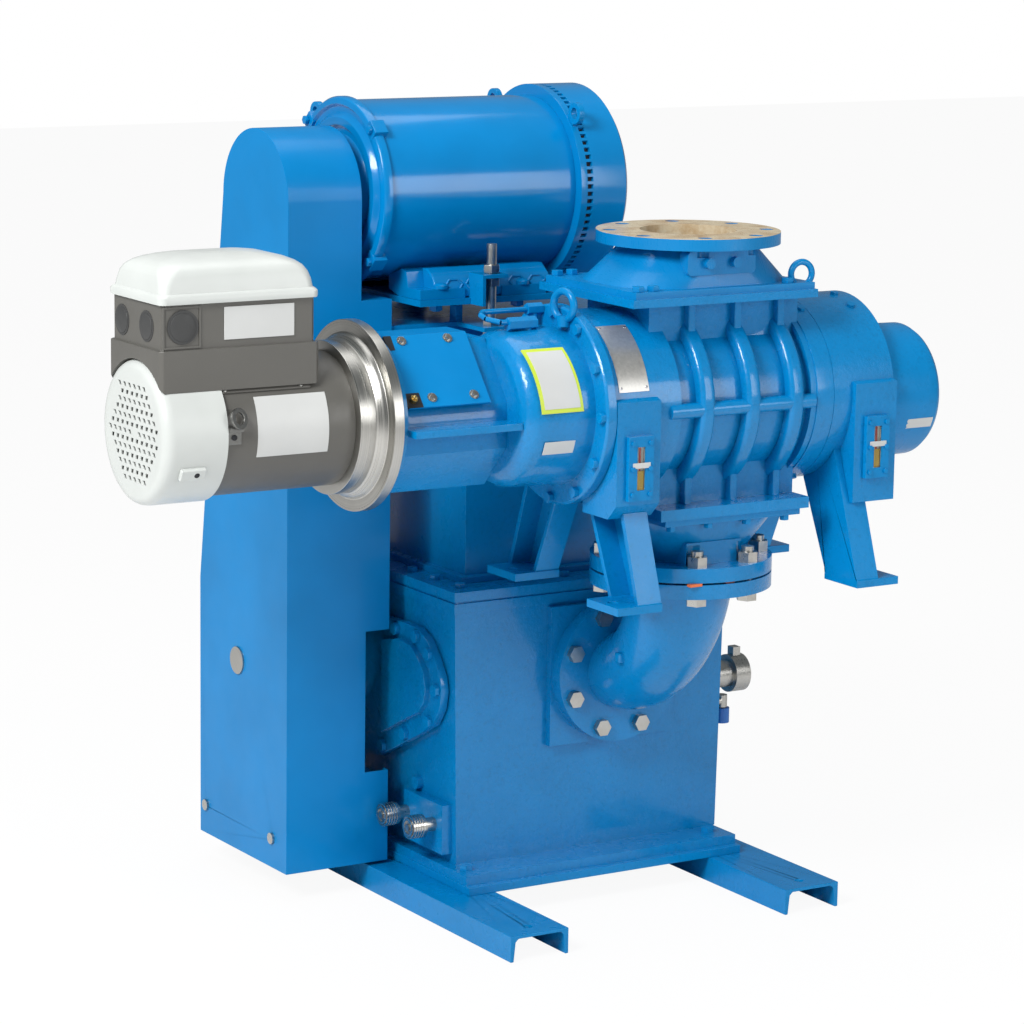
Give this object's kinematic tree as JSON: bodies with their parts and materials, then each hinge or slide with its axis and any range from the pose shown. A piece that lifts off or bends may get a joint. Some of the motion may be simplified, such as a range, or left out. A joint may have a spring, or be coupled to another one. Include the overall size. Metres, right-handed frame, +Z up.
{
  "type": "roots vacuum pump",
  "caption": "Roots booster with ribbed casing, flanged top inlet and inverter motor, piped by an elbow to a belt-driven backing pump on channel rails.",
  "frame": {"origin": "centre of the bounding box in plan, at floor level under the rails", "axes": "+X along the booster from its motor to its gear end, +Y from the elbow side to the back, +Z up out of the inlet flange"},
  "size_m": [1.296, 1.02, 1.262],
  "materials": {
    "blue_paint": "semi-gloss machine enamel",
    "blue_cast": "cast iron under semi-gloss enamel",
    "blue_sheet": "smooth semi-gloss sheet",
    "grey_alu": "fine textured grey coating on aluminium",
    "grey_plastic": "fine textured grey plastic",
    "white_plastic": "satin moulded plastic",
    "stainless": "turned and brushed",
    "zinc_steel": "zinc plated",
    "machined_iron": "machined, lightly oiled",
    "ground_steel": "ground",
    "gasket": "compressed fibre",
    "belt_rubber": "matt",
    "sight_glass": "clear",
    "knob_plastic": "moulded"
  },
  "bodies": {
    "package": {"skid_rails": "blue_paint", "base_plate": "blue_paint", "base_bolts": "blue_paint", "pump_housing": "blue_cast", "bearing_cover": "blue_cast", "pump_cover": "blue_cast", "pump_bolts": "blue_paint", "riser": "blue_paint", "motor_deck": "blue_paint", "hinge_pin": "zinc_steel", "jack_rod": "zinc_steel", "v_belts": "belt_rubber", "belt_guard": "blue_sheet", "guard_fittings": "stainless", "elbow": "blue_cast", "joint_gasket": "gasket", "flange_bolts": "zinc_steel", "discharge_adapter": "blue_cast", "booster_casing": "blue_cast", "inlet_adapter": "blue_cast", "casing_bolts": "blue_paint", "headplate_left": "blue_cast", "headplate_right": "blue_cast", "gear_cover": "blue_cast", "end_cap": "blue_paint", "bearings": "ground_steel", "drive_cover": "blue_cast", "lantern": "blue_cast", "lantern_cover": "blue_sheet", "adapter_ring": "stainless", "booster_motor": "grey_alu", "fan_cowl": "white_plastic", "drive_box": "grey_alu", "drive_lid": "white_plastic", "booster_legs": "blue_paint", "sight_frames": "blue_paint", "lifting_eyes": "blue_paint", "sight_lenses": "sight_glass", "vent_tube": "blue_paint", "drain_valves": "stainless", "side_ports": "stainless"},
    "carriage": {"motor_plate": "blue_paint", "motor_bolts": "blue_paint", "motor_frame": "blue_paint", "drive_bell": "blue_cast", "fan_cover": "blue_paint", "motor_eyes": "blue_paint"},
    "motor_rotor": {"motor_shaft": "ground_steel", "motor_fan": "grey_plastic", "motor_sheave": "machined_iron"},
    "pump_rotor": {"pump_shaft": "ground_steel", "pump_sheave": "machined_iron"},
    "booster_drive": {"rotor_drive": "machined_iron", "gear_drive": "ground_steel", "coupling": "machined_iron", "booster_motor_shaft": "ground_steel"},
    "booster_driven": {"rotor_driven": "machined_iron", "gear_driven": "ground_steel"},
    "tension_nuts": {"jack_nuts": "zinc_steel"},
    "ballast_handle": {"ballast_knob": "knob_plastic"}
  },
  "joints": [
    {"name": "booster_drive_spin", "type": "hinge", "parent": "package", "child": "booster_drive", "pos_m": [0.256, -0.281, 0.822], "axis": [1, 0, 0], "continuous": true},
    {"name": "booster_driven_spin", "type": "hinge", "parent": "package", "child": "booster_driven", "pos_m": [0.256, -0.371, 0.822], "axis": [1, 0, 0], "continuous": true},
    {"name": "motor_tilt", "type": "hinge", "parent": "package", "child": "carriage", "pos_m": [0.176, 0.298, 0.919], "axis": [-1, 0, 0], "range_deg": [-1, 1.5], "deforming": ["v_belts"]},
    {"name": "tension_nut_travel", "type": "slide", "parent": "package", "child": "tension_nuts", "axis": [0, 0, 1], "range_m": [-0.0062, 0.0092]},
    {"name": "motor_spin", "type": "hinge", "parent": "carriage", "child": "motor_rotor", "pos_m": [0.256, 0.124, 1.105], "axis": [1, 0, 0], "continuous": true},
    {"name": "pump_spin", "type": "hinge", "parent": "package", "child": "pump_rotor", "pos_m": [0.256, 0.171, 0.358], "axis": [1, 0, 0], "continuous": true},
    {"name": "ballast_turn", "type": "hinge", "parent": "package", "child": "ballast_handle", "pos_m": [0.506, -0.09, 0.24], "axis": [0, 0, 1], "range_deg": [0, 360]}
  ],
  "couplings": [
    {"joint": "booster_driven_spin", "follows": "booster_drive_spin", "ratio": -1},
    {"joint": "tension_nut_travel", "follows": "motor_tilt", "m_per_rad": 0.341},
    {"joint": "pump_spin", "follows": "motor_spin", "ratio": 0.3821}
  ]
}
